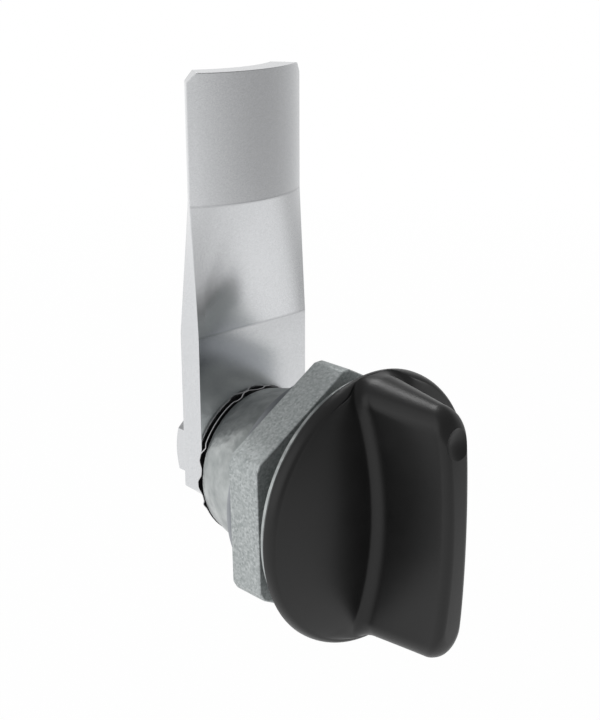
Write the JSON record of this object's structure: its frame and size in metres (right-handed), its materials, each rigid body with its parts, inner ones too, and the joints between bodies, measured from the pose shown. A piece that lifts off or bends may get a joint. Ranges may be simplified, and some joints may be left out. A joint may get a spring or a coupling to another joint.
{
  "type": "quarter-turn cam latch",
  "caption": "Quarter-turn cam latch with a black wing knob, a flanged zinc housing clamped by a hex nut, and a plated steel cam with a rolled tip.",
  "frame": {"origin": "on the latch axis, in the plane of the flange's back face, where the door panel seats", "axes": "+Y along the latch axis towards the cam behind the door, +Z towards the cam's tip at rest"},
  "size_m": [0.034, 0.0446, 0.067],
  "materials": {
    "black_plastic": "satin moulded",
    "zinc_casting": "fine grained die casting",
    "bright_zinc": "bright plated",
    "plated_steel": "satin zinc plated",
    "spring_steel": "blackened spring sheet with bright sheared edges",
    "seal_rubber": "matt"
  },
  "bodies": {
    "fixed_housing": {"housing": "bright_zinc", "panel_seal": "seal_rubber", "mounting_nut": "zinc_casting"},
    "turning_knob_and_cam": {"wing_knob": "black_plastic", "spindle": "zinc_casting", "shaft_o_ring": "seal_rubber", "wave_washer": "spring_steel", "thrust_washer": "spring_steel", "cam": "plated_steel", "flat_washer": "plated_steel", "spring_lock_washer": "plated_steel", "cam_screw": "plated_steel"}
  },
  "joints": [
    {"name": "quarter_turn", "type": "hinge", "parent": "fixed_housing", "child": "turning_knob_and_cam", "pos_m": [0, 0, 0], "axis": [0, 1, 0], "range_deg": [0, 90]}
  ]
}
